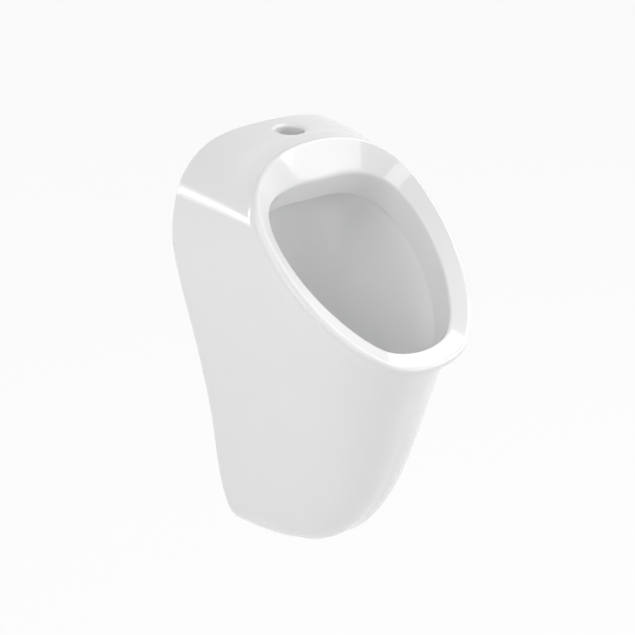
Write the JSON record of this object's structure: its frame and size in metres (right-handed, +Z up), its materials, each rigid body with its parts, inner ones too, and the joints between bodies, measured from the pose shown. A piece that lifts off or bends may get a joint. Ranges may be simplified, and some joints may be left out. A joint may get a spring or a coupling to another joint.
{
  "type": "wall hung urinal",
  "caption": "Wall hung ceramic urinal with a sloping oval rim, deep bowl, top water inlet, lift-out strainer and bottle trap, held on hidden wall hooks.",
  "frame": {"origin": "midway between the two wall fixing bolts, on the face of the wall", "axes": "+Z up, +Y into the wall, +X to the right as seen from the front"},
  "size_m": [0.2929, 0.3738, 0.5481],
  "materials": {
    "glaze": "white glaze",
    "seal_rubber": "black moulded rubber",
    "pipe_plastic": "white moulded plastic",
    "chrome_plate": "polished plate",
    "stainless": "satin",
    "nut_brass": "machined",
    "zinc_steel": "zinc plated"
  },
  "bodies": {
    "fixture": {"ceramic_body": "glaze", "inlet_seal": "seal_rubber", "inlet_tube": "pipe_plastic", "spreader": "chrome_plate", "spreader_gasket": "seal_rubber", "spreader_nut": "nut_brass", "waste_flange": "chrome_plate", "flange_gasket": "seal_rubber", "waste_washer": "seal_rubber", "waste_slip_ring": "pipe_plastic", "waste_backnut": "nut_brass", "trap_inlet_nut": "pipe_plastic", "trap_inlet_seal": "seal_rubber", "trap_body": "pipe_plastic", "trap_dip_tube": "pipe_plastic", "trap_cup_seal": "seal_rubber", "trap_outlet_nut": "pipe_plastic", "trap_outlet_seal": "seal_rubber", "outlet_pipe": "pipe_plastic", "wall_connector": "seal_rubber", "hanger_brackets": "zinc_steel", "hanger_pads": "seal_rubber", "hanger_bolts": "zinc_steel", "hanger_washers": "zinc_steel", "hanger_nuts": "zinc_steel"},
    "strainer": {"waste_strainer": "stainless"},
    "cup": {"trap_cup": "pipe_plastic"}
  },
  "joints": [
    {"name": "strainer_lift", "type": "slide", "parent": "fixture", "child": "strainer", "axis": [0, 0, 1], "range_m": [0, 0.12]},
    {"name": "cup_drop", "type": "slide", "parent": "fixture", "child": "cup", "axis": [0, 0, -1], "range_m": [0, 0.09]}
  ]
}
